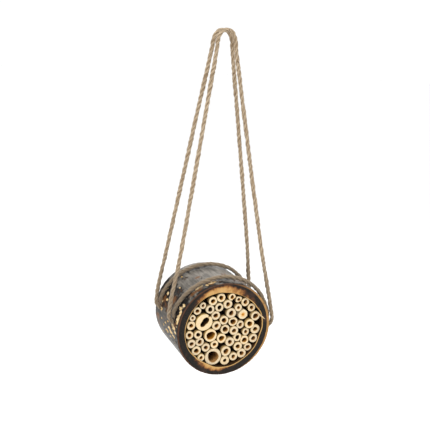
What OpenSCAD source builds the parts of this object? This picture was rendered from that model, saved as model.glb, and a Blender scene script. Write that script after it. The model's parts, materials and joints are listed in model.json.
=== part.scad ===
// Hanging insect hotel: a short length of thick bamboo culm lying on its side,
// packed with thin cut canes whose hollows are the nests, closed behind by a
// disc, and hung from two cord loops that meet over one hook.
// Origin: the point of the hook on which both loops rest. Y runs through the
// drum from its open front (-Y) to its closed back (+Y), Z is up.

/* [Drum] */
// Outside diameter of the culm
drum_d = 120; // [100:1:150]
// Length of the culm from front rim to back rim
drum_len = 90; // [70:1:120]
// Thickness of the culm's wall
wall_t = 11; // [8:0.5:14]
// Drop from the hook's point down to the underside of the culm
hang_drop = 410; // [300:5:500]

/* [Back] */
// Thickness of the disc that closes the back
back_t = 5; // [3:0.5:10]
// How far the disc sits inside the back rim
back_recess = 1; // [0.5:0.5:5]

/* [Canes] */
// Size of a cane against the space that it has in the pack
cane_fill = 1; // [0.85:0.01:1]
// Deepest that a cane's mouth sits behind the front rim
mouth_recess = 3; // [1:0.5:8]
// Depth of the dimple in the cane whose pith is still whole
pith_dimple = 3; // [1:0.5:10]

/* [Cord] */
// Diameter of the cord
cord_d = 5; // [4:0.5:6]
// Width of a drilled hole over the cord's diameter
hole_room = 0.4; // [0.2:0.1:1]
// Distance from the drum's middle to each hole but the front right one
hole_y = 26; // [15:1:32]
// From the front rim to the front right hole, which lies nearer to it
front_right_in = 10; // [8:1:30]
// Height of the left-hand holes, as an angle above the drum's middle
left_angle = 11; // [8:1:25]
// Height of the right-hand holes, in the same way
right_angle = -4; // [-8:1:25]

/* [Hidden] */
$fn = 72;

// The smallest gap that is kept between two canes, and a cane and the wall
cane_gap = 0.2;
// Room between the two strands that share a hole
strand_gap = 0.3;
// How far a band's middle lies above the culm, past its own half thickness
band_lift = 0.6;
// How far the hole's upper lip is filed back round that bend
lip_ease = 0.85;
// How steeply the holes run down into the wall
hole_slope = 45;
// Length of the drill's way into the wall, in wall thicknesses
drill_way = 3;
// Sides of a cord's tube
cord_sides = 10;

drum_r = drum_d / 2;
bore_r = drum_r - wall_t;
drum_z = drum_r - hang_drop;
front_y = -drum_len / 2;
cane_back_y = drum_len / 2 - back_recess - back_t;
hole_r = (cord_d + hole_room) / 2;
strand_pitch = cord_d + strand_gap;
// Radius of the band's bend where it turns into its hole
band_bend = cord_d * 2;

// The pack of canes was laid out for a hollow of this radius
pack_r = 49;
pack_scale = bore_r / pack_r;

// Each cane as it was first laid in: its place across and up from the drum's
// middle, its diameter and the diameter of its hollow
CANES = [
    [  8,  40,  9,   4.6], [ -5,  40, 11,   5.4], [-16,  37, 10.5, 5.2],
    [ 18,  36,  8.5, 3.8], [ 27,  32, 10.5, 5.2], [  4,  32, 11,   5.2],
    [-28,  32,  8,   3.6], [ 17,  26,  9,   3.8], [ 36,  24, 10,   4.8],
    [-19,  27, 10.5, 5.4], [ -7,  28, 10.5, 5.2], [-35,  26,  9.5, 4.6],
    [  9,  20, 12.5, 6],   [ 25,  16, 12,   3],   [ 42,  13, 11.5, 6.6],
    [-11,  18, 11,   5.6], [-41,  18,  7.5, 3.2], [  0,  11, 11,   6],
    [ 12,   8, 11.5, 7],   [-26,  11, 21,   9],   [ 22,   3, 10,   4.8],
    [ 35,   4, 12,   6.6], [-42,   8, 11,   5],   [-10,   5, 11,   5.2],
    [  2,  -1, 11.5, 6.6], [ 43,  -5, 12,   5.4], [ 14,  -4, 11,   5.2],
    [ 30,  -7,  9,   4.2], [-17,  -6, 16,  10.4], [-44,  -4, 10,   5],
    [-33,  -4, 10,   5],   [ -2, -12, 12,   6.6], [ 19, -13, 10.5, 5.2],
    [ 42, -17, 11,   5.4], [ 30, -18, 11.5, 6.2], [  9, -17, 11.5, 5.2],
    [-30, -14, 10.5, 5.2], [-41, -15, 10.5, 5],   [-11, -19, 10,   4.4],
    [-22, -22, 10.5, 5],   [ 21, -26, 11,   5.4], [ 35, -28, 10,   5.2],
    [  4, -29, 12.5, 6.6], [-34, -25, 11.5, 5.8], [ 27, -36, 11.5, 5.4],
    [-12, -35, 21,  14],   [ 15, -38, 10.5, 4.8], [-28, -34,  9,   4.2],
    [  4, -42, 11.5, 4.2]
];
// The cane that kept its pith, the squared one and the thick-walled one
PITH = 13;
SQUARED = 3;
THICK = 19;

// Each loop's route, as across, along, up: from inside the left hole, up and
// over the hook, and down into the right hole
FRONT_HANG = [
    [-52, -26, -349.2], [-60.9, -26, -340.3], [-64, -26, -336.4],
    [-65.2, -26, -333], [-65, -26, -329.5], [-53.4, -22.3, -268.5],
    [-38.4, -16.8, -180], [-23.8, -11.3, -91.5], [-12.3, -7, -21],
    [-9.8, -6, -5.5], [-7, -6, -0.4], [-3.6, -6, 1.8], [0, -6, 2.5],
    [3.6, -6, 1.8], [7, -6, -0.4], [9.8, -6.2, -5.5],
    [12.2, -7.4, -21], [23.4, -13.6, -91.5], [37.8, -21.2, -180],
    [53, -29.6, -268.5], [65.4, -36.9, -334], [67.3, -37, -343.7],
    [67, -36.2, -349], [64.3, -35.1, -353.5], [61.9, -35, -355.9],
    [53, -35, -364.8]
];
BACK_HANG = [
    [-52, 26, -349.2], [-60.9, 26, -340.3], [-64, 26, -336.4],
    [-65.2, 26, -333], [-65, 26, -329.5], [-55.6, 22.3, -268.5],
    [-40.6, 16.8, -180], [-25.6, 11.3, -91.5], [-13.2, 7, -21],
    [-10.8, 6, -6.5], [-7.8, 6, -0.7], [-4, 6, 1.8], [0, 6, 2.5],
    [4, 6, 1.8], [7.8, 6, -0.7], [10.8, 6, -6.5],
    [13.2, 7, -21], [25.4, 11.5, -91.5], [40.6, 17.2, -180],
    [55.6, 23.2, -268.5], [65.4, 28, -334], [67.3, 28, -343.7],
    [67, 27.2, -349], [64.3, 26.1, -353.5], [61.9, 26, -355.9],
    [53, 26, -364.8]
];
// Each band's route from inside the left hole, over the drum's top
FRONT_BAND = [
    [-51.3, -26, -342.4], [-56.4, -26, -337.3], [-58.5, -26, -334.1],
    [-59.3, -26.2, -330.3], [-58.6, -26.6, -326.5], [-49.5, -28.4, -310.8],
    [-35.7, -30.4, -297.6], [-18.4, -31.8, -289.6], [0, -32.6, -286.8],
    [18.4, -33, -289.6], [35.9, -33.2, -297.6], [49.9, -33.4, -311.3],
    [58.6, -33.4, -326.4], [62.5, -33.5, -341], [62, -34.5, -347],
    [59.8, -35, -350.5], [54.7, -35, -355.6]
];
BACK_BAND = [
    [-51.3, 26, -342.4], [-56.4, 26, -337.3], [-58.5, 26, -334.1],
    [-59.3, 26, -330.3], [-58.6, 25.8, -326.5], [-49.5, 24.6, -310.8],
    [-35.7, 23.2, -297.6], [-18.4, 22, -289.6], [0, 21.6, -286.8],
    [18.4, 21.8, -289.6], [35.9, 22.6, -297.6], [49.9, 23.6, -311.3],
    [58.6, 24.4, -326.4], [62.5, 24.6, -341], [62, 25.5, -347],
    [59.8, 26, -350.5], [54.7, 26, -355.6]
];

function two_digits(n) = n < 10 ? str("0", n) : str(n);
CANE_NAMES = [for (i = [1 : len(CANES)]) str("cane_", two_digits(i))];

// ---- How the canes settle ----

// The push on cane i from cane j where the two would overlap
function push(i, j, at) =
    let (away = at[i] - at[j],
         reach = (CANES[i][2] + CANES[j][2]) / 2 + cane_gap,
         apart = norm(away))
    apart >= reach ? [0, 0] : away / apart * (reach - apart) / 2;

// The push on cane i from the wall of the culm
function wall_push(i, at) =
    let (room = pack_r - cane_gap - CANES[i][2] / 2,
         out = norm(at[i]))
    out <= room ? [0, 0] : at[i] / out * (room - out);

function total(list, i = 0) =
    i == len(list) ? [0, 0] : list[i] + total(list, i + 1);

// One round moves every cane by half of what its neighbours ask of it
function settle_once(at) =
    [for (i = [0 : len(at) - 1])
        at[i] + wall_push(i, at)
        + total([for (j = [0 : len(at) - 1]) if (j != i) push(i, j, at)]) * 0.9];

function settle(at, rounds) =
    rounds == 0 ? at : settle(settle_once(at), rounds - 1);

CANE_AT = settle([for (c = CANES) [c[0], c[1]]], 24);

// ---- Drum ----

// Places its children with Z along the drum, from the front to the back
module along_drum(from_y) {
    translate([0, from_y, drum_z])
        rotate([-90, 0, 0])
            children();
}

// One hole on the left for both strands, run down into the wall: an oblong of
// two bores, with its upper lip filed back where the band bends into it
module cord_hole(y, angle) {
    mouth = drum_r * [-cos(angle), sin(angle)];
    depth = wall_t * drill_way + cord_d;
    bend_sum = mouth.x + mouth.y + (strand_pitch / 2 + band_bend) * sqrt(2);
    bend_far = drum_r + cord_d / 2 + band_lift - band_bend;
    bend_z = (bend_sum + sqrt(2 * bend_far * bend_far - bend_sum * bend_sum)) / 2;
    bend_x = bend_sum - bend_z;
    mid_bend = 180 + (hole_slope - atan2(bend_z, -bend_x)) / 2;
    lip = (band_bend - lip_ease) * [cos(mid_bend), sin(mid_bend)];
    translate([0, y, drum_z]) {
        translate([mouth.x, 0, mouth.y])
            rotate([0, 90 + hole_slope, 0]) {
                for (s = [-1, 1])
                    translate([s * strand_pitch / 2, 0, -cord_d])
                        cylinder(r = hole_r, h = depth);
                translate([-strand_pitch / 2, -hole_r, -cord_d])
                    cube([strand_pitch, hole_r * 2, depth]);
            }
        translate([bend_x + lip.x, 0, bend_z + lip.y])
            rotate([0, atan2(-lip.y, lip.x), 0])
                cylinder(r = hole_r + lip_ease, h = band_bend * 1.4, center = true);
    }
}

module drum_shell() {
    color("dimgray")
        difference() {
            along_drum(front_y)
                cylinder(r = drum_r, h = drum_len, $fn = 144);
            along_drum(front_y - 1)
                cylinder(r = bore_r, h = drum_len + 2, $fn = 144);
            for (y = [-hole_y, hole_y])
                cord_hole(y, left_angle);
            for (y = [front_y + front_right_in, hole_y])
                mirror([1, 0, 0])
                    cord_hole(y, right_angle);
        }
}

module back_panel() {
    color("burlywood")
        along_drum(cane_back_y)
            cylinder(r = bore_r - cane_gap / 2, h = back_t, $fn = 144);
}

// ---- Canes ----

// How far cane i's mouth sits behind the front rim
function mouth_y(i) =
    front_y + mouth_recess * (0.2 + 0.8 * abs(sin(i * 77)));

// Places its children at the rear end of cane i, with Z towards the mouth
module at_cane(i) {
    translate([CANE_AT[i].x * pack_scale, cane_back_y, drum_z + CANE_AT[i].y * pack_scale])
        rotate([90, 0, 0])
            children();
}

module cane_body(i, r, h) {
    if (i == SQUARED)
        intersection() {
            cylinder(r = r, h = h);
            translate([-r * 0.86, -r * 0.86, 0])
                cube([r * 1.72, r * 1.72, h]);
        }
    else
        cylinder(r = r, h = h);
}

// The hollow: a round bore, a lens in the thick cane, a dimple in the pith
module cane_hollow(i, r, h) {
    if (i == PITH)
        translate([0, 0, h - pith_dimple])
            cylinder(r = r, h = pith_dimple + 1);
    else if (i == THICK)
        translate([r * 0.3, r * 0.1, -1])
            rotate([0, 0, 35])
                intersection() {
                    translate([0, r * 0.55, 0])
                        cylinder(r = r * 1.3, h = h + 2);
                    translate([0, -r * 0.55, 0])
                        cylinder(r = r * 1.3, h = h + 2);
                }
    else
        translate([0, 0, -1])
            cylinder(r = r, h = h + 2);
}

module cane(i) {
    size = CANES[i] * pack_scale * cane_fill / 2;
    h = cane_back_y - mouth_y(i);
    color("wheat")
        at_cane(i)
            difference() {
                cane_body(i, size[2], h);
                cane_hollow(i, size[3], h);
            }
}

// ---- Cords ----

function unit(v) = v / norm(v);

// The route's direction at point i, from its neighbours
function heading(path, i) =
    unit(path[min(i + 1, len(path) - 1)] - path[max(i - 1, 0)]);

// One ring of a cord's tube, square to its route
function ring(path, i) =
    let (ahead = heading(path, i),
         side = unit(cross(ahead, [0, 1, 0])),
         up = cross(side, ahead))
    [for (k = [0 : cord_sides - 1])
        path[i] + (side * cos(k * 360 / cord_sides) + up * sin(k * 360 / cord_sides)) * cord_d / 2];

module cord(path) {
    n = len(path);
    s = cord_sides;
    points = [for (i = [0 : n - 1]) each ring(path, i)];
    sides = [for (i = [0 : n - 2], k = [0 : s - 1])
        each [[i * s + k, (i + 1) * s + k, (i + 1) * s + (k + 1) % s],
              [i * s + k, (i + 1) * s + (k + 1) % s, i * s + (k + 1) % s]]];
    caps = [[for (k = [0 : s - 1]) k], [for (k = [s - 1 : -1 : 0]) (n - 1) * s + k]];
    color("tan")
        polyhedron(points = points, faces = concat(sides, caps));
}

// ---- The pieces ----

drum_shell();
back_panel();
for (i = [0 : len(CANES) - 1])
    cane(i);
cord(FRONT_HANG);  // front_hanger
cord(BACK_HANG);  // back_hanger
cord(FRONT_BAND);  // front_band
cord(BACK_BAND);  // back_band
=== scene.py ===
"""The looks of a hanging insect hotel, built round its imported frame.

A short drum of charred bamboo culm is packed with cut canes and hangs from two
twisted cord loops. Each class below makes one group of pieces: the culm, the
canes, the closing disc and the cords. Lengths are metres, unless a name ends
in _mm, and the drum's axis runs along Y with its open front toward -Y.
"""

from __future__ import annotations

import json
import logging
import math
from dataclasses import dataclass
from enum import Enum
from functools import partialmethod

import bpy
import numpy as np
from mathutils import Matrix, Vector

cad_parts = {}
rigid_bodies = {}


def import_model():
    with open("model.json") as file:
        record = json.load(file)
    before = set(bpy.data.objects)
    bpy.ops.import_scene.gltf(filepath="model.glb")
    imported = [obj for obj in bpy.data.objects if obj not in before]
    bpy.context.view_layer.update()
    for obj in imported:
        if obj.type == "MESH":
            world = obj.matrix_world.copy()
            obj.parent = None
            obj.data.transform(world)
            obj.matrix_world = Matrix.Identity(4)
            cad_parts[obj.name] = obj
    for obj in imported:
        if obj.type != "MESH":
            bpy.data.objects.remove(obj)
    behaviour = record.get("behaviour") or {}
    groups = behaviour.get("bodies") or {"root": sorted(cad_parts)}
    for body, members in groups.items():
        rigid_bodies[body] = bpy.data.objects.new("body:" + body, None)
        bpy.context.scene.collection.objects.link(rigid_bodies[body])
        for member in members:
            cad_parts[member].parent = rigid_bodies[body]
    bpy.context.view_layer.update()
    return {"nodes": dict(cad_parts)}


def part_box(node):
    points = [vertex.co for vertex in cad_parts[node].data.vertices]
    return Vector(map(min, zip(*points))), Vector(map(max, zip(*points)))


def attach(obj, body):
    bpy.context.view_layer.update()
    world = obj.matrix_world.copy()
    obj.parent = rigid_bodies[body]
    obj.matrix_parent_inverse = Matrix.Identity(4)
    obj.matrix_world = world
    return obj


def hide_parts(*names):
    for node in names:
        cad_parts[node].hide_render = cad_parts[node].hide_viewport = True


LOG = logging.getLogger("insect_hotel")
MM = 0.001
Array = np.ndarray
Colour = tuple[float, float, float]


# ---------------------------------------------------------------- shape tools


def smooth_step(low: float, high: float, value: Array) -> Array:
    """Rises smoothly from 0 at low to 1 at high (3t^2 - 2t^3)."""
    t = np.clip((value - low) / (high - low), 0.0, 1.0)
    return t * t * (3.0 - 2.0 * t)


def lattice_noise(points: Array, seed: int) -> Array:
    """Smooth value noise: random values on a whole-number lattice, blended between corners.

    Args:
        points: positions in lattice units, shaped (..., 3).
        seed: picks the random table.

    Returns:
        Values from -1 to 1, shaped like points without its last axis.
    """
    table = np.random.default_rng(seed).uniform(-1.0, 1.0, (32, 32, 32))
    cell = np.floor(points).astype(int)
    t = smooth_step(0.0, 1.0, points - cell)
    value = np.zeros(points.shape[:-1])
    for corner in np.ndindex(2, 2, 2):
        index = (cell + corner) % 32
        weight = np.prod(np.where(corner, t, 1.0 - t), axis=-1)
        value += weight * table[index[..., 0], index[..., 1], index[..., 2]]
    return value


def rough_noise(points: Array, seed: int, octaves: int = 3) -> Array:
    """Adds octaves of lattice noise, each twice as fine and half as strong."""
    total = np.zeros(points.shape[:-1])
    for octave in range(octaves):
        total += lattice_noise(points * 2.0**octave, seed + octave) / 2.0**octave
    return total


def round_curve(angles: Array, knots: list[tuple[float, float]]) -> Array:
    """A closed smooth curve through (degrees, value) knots, by cosine blending.

    Args:
        angles: where to read the curve, in radians.
        knots: rising angles in degrees, each with its value.

    Returns:
        The curve's values at the angles.
    """
    at = np.array([k[0] for k in knots] + [knots[0][0] + 360.0])
    value = np.array([k[1] for k in knots] + [knots[0][1]])
    degrees = (np.degrees(angles) - at[0]) % 360.0 + at[0]
    i = np.clip(np.searchsorted(at, degrees, side="right") - 1, 0, len(at) - 2)
    t = smooth_step(at[i], at[i + 1], degrees)
    return value[i] * (1.0 - t) + value[i + 1] * t


def full_turn(steps: int) -> Array:
    """Angles of a whole turn in even steps, in radians."""
    return np.arange(steps) * 2 * math.pi / steps


def bell(*sides: Array) -> Array:
    """1 in the middle, falling smoothly to 0 all round (a normal curve)."""
    return np.exp(-sum(side**2 for side in sides))


def turn_from(angle: Array, degrees: float) -> Array:
    """Turn from a clock angle to each angle, the shorter way, in radians."""
    return (angle - math.radians(degrees) + math.pi) % (2 * math.pi) - math.pi


def noise_place(angle: Array, round_scale: float, along: Array) -> Array:
    """Lattice places round a tube, so that noise read there joins up after a whole turn."""
    return np.stack([np.cos(angle) * round_scale, np.sin(angle) * round_scale, along], axis=-1)


def unit(vectors: Array) -> Array:
    """Each row brought to length 1."""
    return vectors / np.maximum(np.linalg.norm(vectors, axis=1, keepdims=True), 1e-6)


def grid_faces(rows: int, columns: int, rows_closed: bool, columns_closed: bool) -> Array:
    """Quads over a grid of points numbered row by row, joined round where closed."""
    i = np.arange(rows if rows_closed else rows - 1)
    j = np.arange(columns if columns_closed else columns - 1)
    i, j = np.meshgrid(i, j, indexing="ij")
    after_i, after_j = (i + 1) % rows, (j + 1) % columns
    quads = [i * columns + j, after_i * columns + j, after_i * columns + after_j, i * columns + after_j]
    return np.stack(quads, axis=-1).reshape(-1, 4)


def signed_volume(points: Array, faces: Array) -> float:
    """Volume inside closed quads, negative where they face inwards (sum of tetrahedra)."""
    a, b, c, d = (points[faces[:, k]] for k in range(4))
    return float((np.cross(a, b) * c).sum() + (np.cross(a, c) * d).sum()) / 6.0


def put_in_scene(name: str, data: bpy.types.ID) -> bpy.types.Object:
    """Makes an object of mesh, light or camera data and links it."""
    item = bpy.data.objects.new(name, data)
    bpy.context.scene.collection.objects.link(item)
    return item


def make_piece(
    name: str, points: Array, faces: Array, marks: dict[str, Array | float] | None = None
) -> bpy.types.Object:
    """Makes a smooth mesh object at the origin from points and quads.

    Args:
        name: the piece's name.
        points: positions, shaped (..., 3).
        faces: rows of point numbers, all of one length.
        marks: named values that spread over the points, which the material reads.

    Returns:
        The linked object.
    """
    shape, points = points.shape[:-1], points.reshape(-1, 3)
    mesh = bpy.data.meshes.new(name)
    mesh.vertices.add(len(points))
    mesh.vertices.foreach_set("co", points.astype(np.float32).ravel())
    mesh.loops.add(faces.size)
    mesh.loops.foreach_set("vertex_index", faces.astype(np.int32).ravel())
    mesh.polygons.add(len(faces))
    mesh.polygons.foreach_set("loop_start", np.arange(len(faces), dtype=np.int32) * faces.shape[1])
    mesh.update(calc_edges=True)
    for mark, values in (marks or {}).items():
        layer = mesh.attributes.new(mark, "FLOAT", "POINT")
        layer.data.foreach_set("value", np.broadcast_to(values, shape).astype(np.float32).ravel())
    mesh.shade_smooth()
    mesh.validate()
    return put_in_scene(name, mesh)


def outward(points: Array, faces: Array) -> Array:
    """Turns the faces of a closed surface outwards."""
    return faces if signed_volume(points.reshape(-1, 3), faces) > 0 else faces[:, ::-1]


# ------------------------------------------------------------- material tools


class Wire:
    """A shader socket that adds its own Math nodes when it is used in an expression."""

    def __init__(self, tree: "Tree", socket: bpy.types.NodeSocket) -> None:
        """Keeps the tree that the socket is in."""
        self.tree, self.socket = tree, socket

    def _maths(self, operation: str, *values: "Wire | float") -> "Wire":
        """Adds a Math node on the values."""
        return self.tree.add("ShaderNodeMath", {"operation": operation}, dict(enumerate(values)))

    def _maths_with(self, operation: str, other: "Wire | float") -> "Wire":
        """Adds a Math node on this wire and another value."""
        return self._maths(operation, self, other)

    def __rsub__(self, other: float) -> "Wire":
        """Difference with the number first."""
        return self._maths("SUBTRACT", other, self)

    __add__ = __radd__ = partialmethod(_maths_with, "ADD")
    __sub__ = partialmethod(_maths_with, "SUBTRACT")
    __mul__ = __rmul__ = partialmethod(_maths_with, "MULTIPLY")
    __truediv__ = partialmethod(_maths_with, "DIVIDE")
    __pow__ = partialmethod(_maths_with, "POWER")

    def between(self, low: float, high: float) -> "Wire":
        """Rises smoothly from 0 at low to 1 at high, or falls where low is above high."""
        if low > high:
            return 1.0 - self.between(high, low)
        settings = {"interpolation_type": "SMOOTHSTEP"}
        inputs = {"Value": self, "From Min": low, "From Max": high}
        return self.tree.add("ShaderNodeMapRange", settings, inputs)


class Tree:
    """A material's node tree, filled node by node."""

    def __init__(self, name: str, centre: Vector = Vector()) -> None:
        """Makes an empty material with a Principled shader; places count from the centre."""
        self.centre = centre
        self.material = bpy.data.materials.new(name)
        self.material.use_nodes = True
        self.nodes = self.material.node_tree.nodes
        self.links = self.material.node_tree.links
        self.shader = next(n for n in self.nodes if n.type == "BSDF_PRINCIPLED")

    def _feed(self, socket: bpy.types.NodeSocket, value: object) -> None:
        """Links a wire into a socket, or sets the socket's own value."""
        if isinstance(value, Wire):
            self.links.new(value.socket, socket)
        elif isinstance(value, tuple) and len(value) == 3 and socket.type == "RGBA":
            socket.default_value = (*value, 1.0)
        else:
            socket.default_value = value

    def add(
        self,
        kind: str,
        settings: dict[str, object] | None = None,
        inputs: dict[object, object] | None = None,
        output: int | str = 0,
    ) -> Wire:
        """Adds one node.

        Args:
            kind: the node's type.
            settings: its properties; "stops" holds a colour ramp's stops.
            inputs: values or wires, by socket name or number.
            output: which output is wanted.

        Returns:
            The wanted output as a wire.
        """
        node = self.nodes.new(kind)
        for key, value in (settings or {}).items():
            if key == "stops":
                self._set_stops(node.color_ramp, value)
            else:
                setattr(node, key, value)
        for key, value in (inputs or {}).items():
            self._feed(node.inputs[key], value)
        return Wire(self, node.outputs[output])

    @staticmethod
    def _set_stops(ramp: bpy.types.ColorRamp, stops: list[tuple[float, Colour]]) -> None:
        """Gives a ramp its stops, each a place and a colour."""
        while len(ramp.elements) < len(stops):
            ramp.elements.new(0.5)
        for element, (place, colour) in zip(ramp.elements, stops):
            element.position, element.color = place, (*colour, 1.0)

    def mark(self, name: str) -> Wire:
        """Reads a value that the mesh holds per point."""
        return self.add("ShaderNodeAttribute", {"attribute_name": name}, output="Fac")

    def place(self, stretch: Colour = (1.0, 1.0, 1.0), centre: Vector | None = None) -> Wire:
        """Object coordinates from a centre, the tree's own if none, stretched on each axis."""
        centre = tuple(self.centre if centre is None else centre)
        place = self.add("ShaderNodeTexCoord", output="Object")
        moved = self.add("ShaderNodeVectorMath", {"operation": "SUBTRACT"}, {0: place, 1: centre})
        return self.add("ShaderNodeVectorMath", {"operation": "MULTIPLY"}, {0: moved, 1: stretch})

    def vector(self, x: Wire | float, y: Wire | float, z: Wire | float) -> Wire:
        """Joins three numbers into a vector."""
        return self.add("ShaderNodeCombineXYZ", None, {0: x, 1: y, 2: z})

    def noise(self, where: Wire, scale: float, detail: float = 3.0, rough: float = 0.55) -> Wire:
        """Noise from 0 to 1 at a place."""
        inputs = {"Vector": where, "Scale": scale, "Detail": detail, "Roughness": rough}
        return self.add("ShaderNodeTexNoise", None, inputs)

    def grain(self, y_stretch: float, scale: float, detail: float, rough: float) -> Wire:
        """Noise at the object's own places, drawn out along Y where y_stretch is small."""
        return self.noise(self.place((1.0, y_stretch, 1.0)), scale, detail, rough)

    def blend(self, factor: Wire | float, low: object, high: object) -> Wire:
        """A colour between low and high by factor."""
        settings = {"data_type": "RGBA", "clamp_factor": True}
        return self.add("ShaderNodeMix", settings, {0: factor, 6: low, 7: high}, output=2)

    def coats(self, colour: object, *tops: tuple[Wire | float, object]) -> Wire:
        """A colour with further ones laid over it in order, each by its own factor."""
        for factor, top in tops:
            colour = self.blend(factor, colour, top)
        return colour

    def ramp(self, factor: Wire, stops: list[tuple[float, Colour]]) -> Wire:
        """A colour from a ramp."""
        return self.add("ShaderNodeValToRGB", {"stops": stops}, {0: factor})

    def finish(
        self,
        colour: object,
        roughness: Wire | float,
        height: Wire | None = None,
        depth: float = 0.0,
        shine: float = 0.5,
    ) -> bpy.types.Material:
        """Feeds the shader.

        Args:
            colour: base colour.
            roughness: surface roughness.
            height: relief from 0 to 1, if any.
            depth: how deep the relief is, in metres.
            shine: strength of reflections, where 0.5 is plain.

        Returns:
            The finished material.
        """
        self._feed(self.shader.inputs["Base Color"], colour)
        self._feed(self.shader.inputs["Roughness"], roughness)
        if height is not None:
            bump = self.add("ShaderNodeBump", None, {"Height": height, "Distance": depth, "Strength": 1.0})
            self._feed(self.shader.inputs["Normal"], bump)
        self.shader.inputs["Specular IOR Level"].default_value = shine
        return self.material


# ----------------------------------------------------------------- the finish


@dataclass(frozen=True)
class CharredCulm:
    """Bamboo culm scorched grey and black, with chips down to pale wood."""

    axis: Vector
    radius: float
    wall: float = 11.0 * MM
    relief: float = 0.7 * MM
    shine: float = 0.16
    # Painted shade: one flat dark colour for the hollow's wall behind the canes
    painted_bore_shade: Colour = (0.055, 0.028, 0.012)
    char: Colour = (0.016, 0.014, 0.011)
    ash: Colour = (0.092, 0.076, 0.056)
    # Colour of the painted reflection on the top of the wall
    painted_sheen_colour: Colour = (0.300, 0.275, 0.240)
    soot: Colour = (0.008, 0.007, 0.007)
    scorch: Colour = (0.150, 0.065, 0.022)
    bare: Colour = (0.62, 0.38, 0.13)
    cream: Colour = (0.76, 0.60, 0.36)

    def make(self) -> bpy.types.Material:
        """Mixes the outer wall, the sawn rims and the hollow by where the surface is."""
        tree = Tree("charred_culm", self.axis)
        parts = tree.add("ShaderNodeSeparateXYZ", None, {0: tree.place()})
        x, _, z = (Wire(tree, output) for output in parts.socket.node.outputs)
        radius = (x * x + z * z) ** 0.5
        on_face = tree.mark("on_face")
        in_hollow = tree.mark("in_hollow")
        wall_colour, wall_rough, wall_height = self._wall(tree, x, z)
        rim_colour, rim_rough, rim_height = self._rim(tree, radius, x, z)
        outside = tree.blend(on_face, wall_colour, rim_colour)
        # The hollow's wall takes the flat painted shade colour
        colour = tree.blend(in_hollow, outside, self.painted_bore_shade)
        rough = wall_rough * (1.0 - on_face) + rim_rough * on_face
        height = wall_height * (1.0 - on_face) + rim_height * on_face
        return tree.finish(colour, rough, height, self.relief, self.shine)

    def _wall(self, tree: Tree, x: Wire, z: Wire) -> tuple[Wire, Wire, Wire]:
        """The outer wall: streaky charcoal, a painted silvery reflection on top, a painted pale reflection
        low on the left, soot, scorch and chips.
        """
        streaks = tree.grain(0.10, 430.0, 4.0, 0.62)
        clouds = tree.grain(0.6, 42.0, 5.0, 0.6)
        blots = tree.grain(0.6, 95.0, 6.0, 0.68)
        scratches = tree.grain(0.035, 1150.0, 2.0, 0.5)
        ragged = tree.grain(0.30, 560.0, 4.0, 0.65)
        light = (streaks * 0.55 + clouds * 0.45).between(0.40, 0.66)
        # Painted reflection: the top of the wall is lightened towards a silvery colour in place of the lamps'
        # shine
        painted_top_sheen = z.between(0.024, 0.056) * (0.45 + 0.55 * clouds.between(0.36, 0.62))
        # Painted reflection of the pale floor: the lower left of the wall is lightened
        painted_low_reflection = z.between(-0.012, -0.034) * x.between(-0.012, -0.036) * clouds.between(0.30, 0.60)
        sooty = (blots + tree.mark("soot") * 0.42).between(0.60, 0.72)
        browned = ((clouds + blots) * 0.95 - 0.44 + tree.mark("scorch") * 0.34).between(0.62, 0.80)
        flaked = tree.mark("chip") + (ragged - 0.5) * 1.35
        halo = flaked.between(0.16, 0.40) * (1.0 - flaked.between(0.46, 0.52))
        chip = flaked.between(0.46, 0.56)
        colour = tree.coats(
            tree.blend(light, self.char, self.ash),
            # painted reflection on top
            (painted_top_sheen * (0.35 + 0.65 * streaks.between(0.30, 0.72)), self.painted_sheen_colour),
            (scratches.between(0.66, 0.76) * 0.35, (0.34, 0.31, 0.26)),
            # painted floor reflection low on the left
            (painted_low_reflection * 0.6, (0.27, 0.26, 0.235)),
            (sooty * 0.95, self.soot),
            (browned * 0.9, self.scorch),
            (halo * 0.75, self.soot),
            (chip, tree.blend(ragged.between(0.42, 0.62), self.bare, self.cream)),
        )
        rough = 0.33 + streaks * 0.20 + sooty * 0.30 + chip * 0.30 - painted_top_sheen * 0.06
        height = streaks * 0.20 + blots * 0.30 + sooty * 0.12 - chip * 0.35 + 0.4
        return colour, rough, height

    def _rim(self, tree: Tree, radius: Wire, x: Wire, z: Wire) -> tuple[Wire, Wire, Wire]:
        """The sawn rim: black char, golden-brown where the flame missed it, bright edges."""
        grain = tree.grain(1.0, 950.0, 4.0, 0.65)
        patches = tree.grain(0.0, 150.0, 5.0, 0.62)
        broad = tree.grain(0.0, 60.0, 2.0, 0.5)
        spokes = tree.noise(tree.vector(x / radius, 0.0, z / radius), 48.0, 4.0, 0.62)
        inward = ((self.radius - radius) / self.wall).between(0.05, 0.85)
        uneven = (patches - 0.5) * 1.6 + (spokes - 0.5) * 0.6 + (inward - 0.5) * 0.3
        missed = tree.mark("missed") + uneven
        char = tree.blend(grain.between(0.35, 0.75), (0.007, 0.006, 0.005), (0.028, 0.022, 0.017))
        char = tree.blend(broad.between(0.50, 0.66) * 0.6, char, (0.050, 0.026, 0.018))
        stops = [
            (0.08, (0.035, 0.014, 0.007)), (0.32, (0.13, 0.048, 0.016)),
            (0.60, (0.36, 0.165, 0.046)), (0.92, (0.57, 0.345, 0.125)),
        ]  # fmt: skip
        brown = tree.ramp(missed.between(0.25, 1.60) * 0.75 + spokes * 0.25, stops)
        worn = (grain - 0.5) * 0.4 + (patches - 0.5) * 1.3 + (spokes - 0.5) * 0.5
        lit = (tree.mark("rim_edge") + worn).between(0.50, 0.95)
        warm = tree.blend((x / self.radius).between(0.1, 0.90), (0.085, 0.036, 0.018), (0.42, 0.225, 0.075))
        skin = (tree.mark("rim_skin") + (grain - 0.5) * 0.3 + (patches - 0.5) * 0.5).between(0.40, 0.65)
        colour = tree.coats(
            char,
            (missed.between(0.30, 0.80), brown),
            (lit * 0.9, warm),
            (skin * 0.9, (0.54, 0.325, 0.115)),
        )
        rough = 0.58 + grain * 0.2
        return colour, rough, grain * 0.45 + patches * 0.35


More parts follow.
